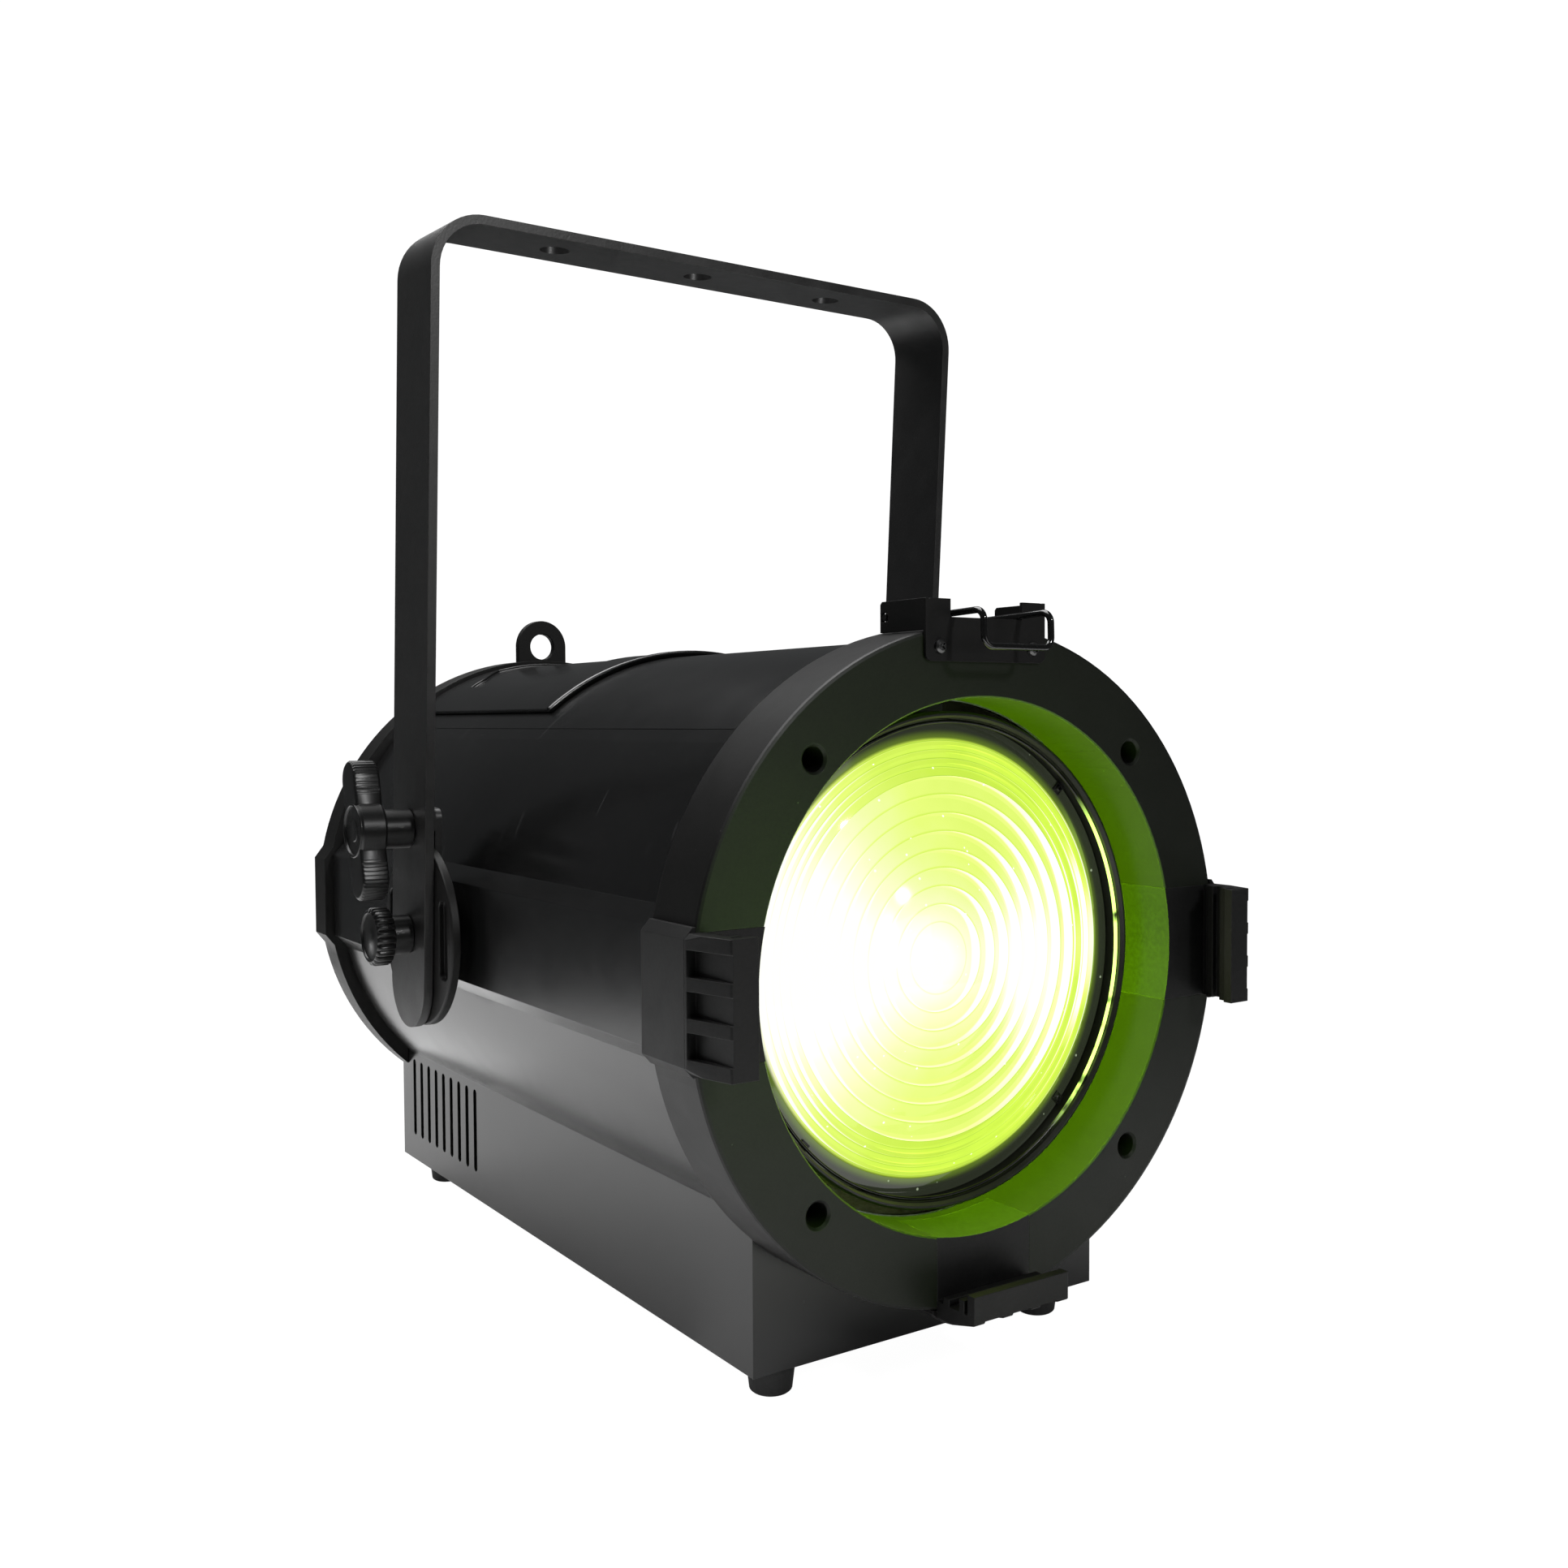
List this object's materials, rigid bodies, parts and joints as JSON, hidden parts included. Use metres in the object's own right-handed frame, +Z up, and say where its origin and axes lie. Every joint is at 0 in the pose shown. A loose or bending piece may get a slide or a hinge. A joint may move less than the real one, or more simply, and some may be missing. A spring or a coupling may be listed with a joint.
{
  "type": "fresnel spotlight",
  "caption": "LED Fresnel spotlight: round casing on a box base, stepped lens in an accessory ring, tilting flat-bar yoke with wing and round knobs, and a safety eye.",
  "frame": {"origin": "on the floor under the feet, on the plane of symmetry, midway between the foremost face of the clips and the rearmost face of the rear cover", "axes": "+Z up, -Y the way the beam leaves, +X to the right of someone who faces the way +Y points"},
  "size_m": [0.333, 0.417, 0.4703],
  "materials": {
    "casing_paint": "fine matte powder coat",
    "cast_paint": "fine matte powder coat",
    "yoke_paint": "fine matte powder coat",
    "clip_plastic": "moulded, satin",
    "black_plastic": "moulded, matte",
    "knob_plastic": "moulded, semi gloss",
    "button_plastic": "moulded, matte",
    "blue_plastic": "moulded, semi gloss",
    "grey_plastic": "moulded, semi gloss",
    "rubber": "moulded, matte",
    "bright_steel": "bright nickel plate",
    "zinc_steel": "zinc plate",
    "black_steel": "black zinc plate",
    "aluminium": "extruded, plain",
    "mirror_aluminium": "spun, bright",
    "copper_board": "copper core board, lacquered",
    "circuit_board": "solder mask",
    "led_emitter": "lit emitter",
    "lens_glass": "moulded, stepped",
    "display_glass": "smoked window",
    "brass": "turned",
    "bail_wire": "gloss black"
  },
  "bodies": {
    "fixture": {"lower_casing": "casing_paint", "top_cover": "casing_paint", "rear_hood": "casing_paint", "base_plate": "casing_paint", "feet": "rubber", "front_ring": "cast_paint", "clip_left": "clip_plastic", "clip_right": "clip_plastic", "clip_bottom": "clip_plastic", "retainer_bracket": "cast_paint", "bracket_screws": "black_steel", "ring_screws": "black_steel", "front_bulkhead": "zinc_steel", "engine_bulkhead": "zinc_steel", "guide_rods": "bright_steel", "zoom_motor": "black_plastic", "led_board": "copper_board", "led_emitter": "led_emitter", "reflector_cup": "mirror_aluminium", "heat_sink": "aluminium", "fan_frame": "black_plastic", "rear_cover": "cast_paint", "fan_grille": "zinc_steel", "rear_screws": "black_steel", "control_panel": "black_plastic", "display_window": "display_glass", "control_board": "circuit_board", "power_inlet": "blue_plastic", "power_outlet": "grey_plastic", "dmx_input": "black_plastic", "dmx_output": "black_plastic", "fuse_holder": "black_plastic", "power_supply": "zinc_steel", "led_driver": "circuit_board", "safety_eyelet": "cast_paint", "tilt_disc_left": "cast_paint", "tilt_disc_right": "cast_paint", "pivot_studs": "zinc_steel"},
    "carriage": {"lens_carriage": "black_plastic", "lens": "lens_glass", "lens_clips": "black_plastic", "guide_bushes": "brass", "zoom_nut": "brass"},
    "lead_screw": {"lead_screw": "bright_steel"},
    "fan_rotor": {"fan_rotor": "black_plastic"},
    "bail": {"wire_bail": "bail_wire"},
    "yoke": {"yoke": "yoke_paint", "clamp_claws": "yoke_paint"},
    "lock_knob_left": {"lock_knob_left": "knob_plastic"},
    "lock_knob_right": {"lock_knob_right": "knob_plastic"},
    "pivot_knob_left": {"pivot_knob_left": "knob_plastic"},
    "pivot_knob_right": {"pivot_knob_right": "knob_plastic"},
    "button_1": {"button_1": "button_plastic"},
    "button_2": {"button_2": "button_plastic"},
    "button_3": {"button_3": "button_plastic"},
    "button_4": {"button_4": "button_plastic"},
    "dmx_latch": {"dmx_latch": "zinc_steel"}
  },
  "joints": [
    {"name": "yoke_tilt", "type": "hinge", "parent": "fixture", "child": "yoke", "pos_m": [0, 0.0378, 0.1585], "axis": [1, 0, 0], "range_deg": [-115, 115]},
    {"name": "lock_left_turn", "type": "hinge", "parent": "yoke", "child": "lock_knob_left", "pos_m": [-0.15, 0.03465, 0.206], "axis": [-1, 0, 0], "range_deg": [0, 360]},
    {"name": "lock_right_turn", "type": "hinge", "parent": "yoke", "child": "lock_knob_right", "pos_m": [0.15, 0.03465, 0.206], "axis": [1, 0, 0], "range_deg": [0, 360]},
    {"name": "pivot_left_turn", "type": "hinge", "parent": "fixture", "child": "pivot_knob_left", "pos_m": [-0.15, 0.0378, 0.1585], "axis": [-1, 0, 0], "range_deg": [0, 360]},
    {"name": "pivot_right_turn", "type": "hinge", "parent": "fixture", "child": "pivot_knob_right", "pos_m": [0.15, 0.0378, 0.1585], "axis": [1, 0, 0], "range_deg": [0, 360]},
    {"name": "lens_zoom", "type": "slide", "parent": "fixture", "child": "carriage", "axis": [0, 1, 0], "range_m": [0, 0.11]},
    {"name": "screw_turn", "type": "hinge", "parent": "fixture", "child": "lead_screw", "pos_m": [0, -0.1475, 0.266], "axis": [0, -1, 0], "range_deg": [0, 4950.5]},
    {"name": "fan_spin", "type": "hinge", "parent": "fixture", "child": "fan_rotor", "pos_m": [0, 0.1825, 0.16], "axis": [0, 1, 0], "continuous": true},
    {"name": "bail_swing", "type": "hinge", "parent": "fixture", "child": "bail", "pos_m": [0, -0.165, 0.2909], "axis": [-1, 0, 0], "range_deg": [0, 100]},
    {"name": "dmx_latch_push", "type": "slide", "parent": "fixture", "child": "dmx_latch", "axis": [0, -1, 0], "range_m": [0, 0.0015], "stiffness_N_per_m": 600, "springref_m": -0.001},
    {"name": "button_1_push", "type": "slide", "parent": "fixture", "child": "button_1", "axis": [0, -1, 0], "range_m": [0, 0.0012], "stiffness_N_per_m": 600, "springref_m": -0.001},
    {"name": "button_2_push", "type": "slide", "parent": "fixture", "child": "button_2", "axis": [0, -1, 0], "range_m": [0, 0.0012], "stiffness_N_per_m": 600, "springref_m": -0.001},
    {"name": "button_3_push", "type": "slide", "parent": "fixture", "child": "button_3", "axis": [0, -1, 0], "range_m": [0, 0.0012], "stiffness_N_per_m": 600, "springref_m": -0.001},
    {"name": "button_4_push", "type": "slide", "parent": "fixture", "child": "button_4", "axis": [0, -1, 0], "range_m": [0, 0.0012], "stiffness_N_per_m": 600, "springref_m": -0.001}
  ],
  "couplings": [
    {"joint": "screw_turn", "follows": "lens_zoom", "rad_per_m": 785.4}
  ]
}
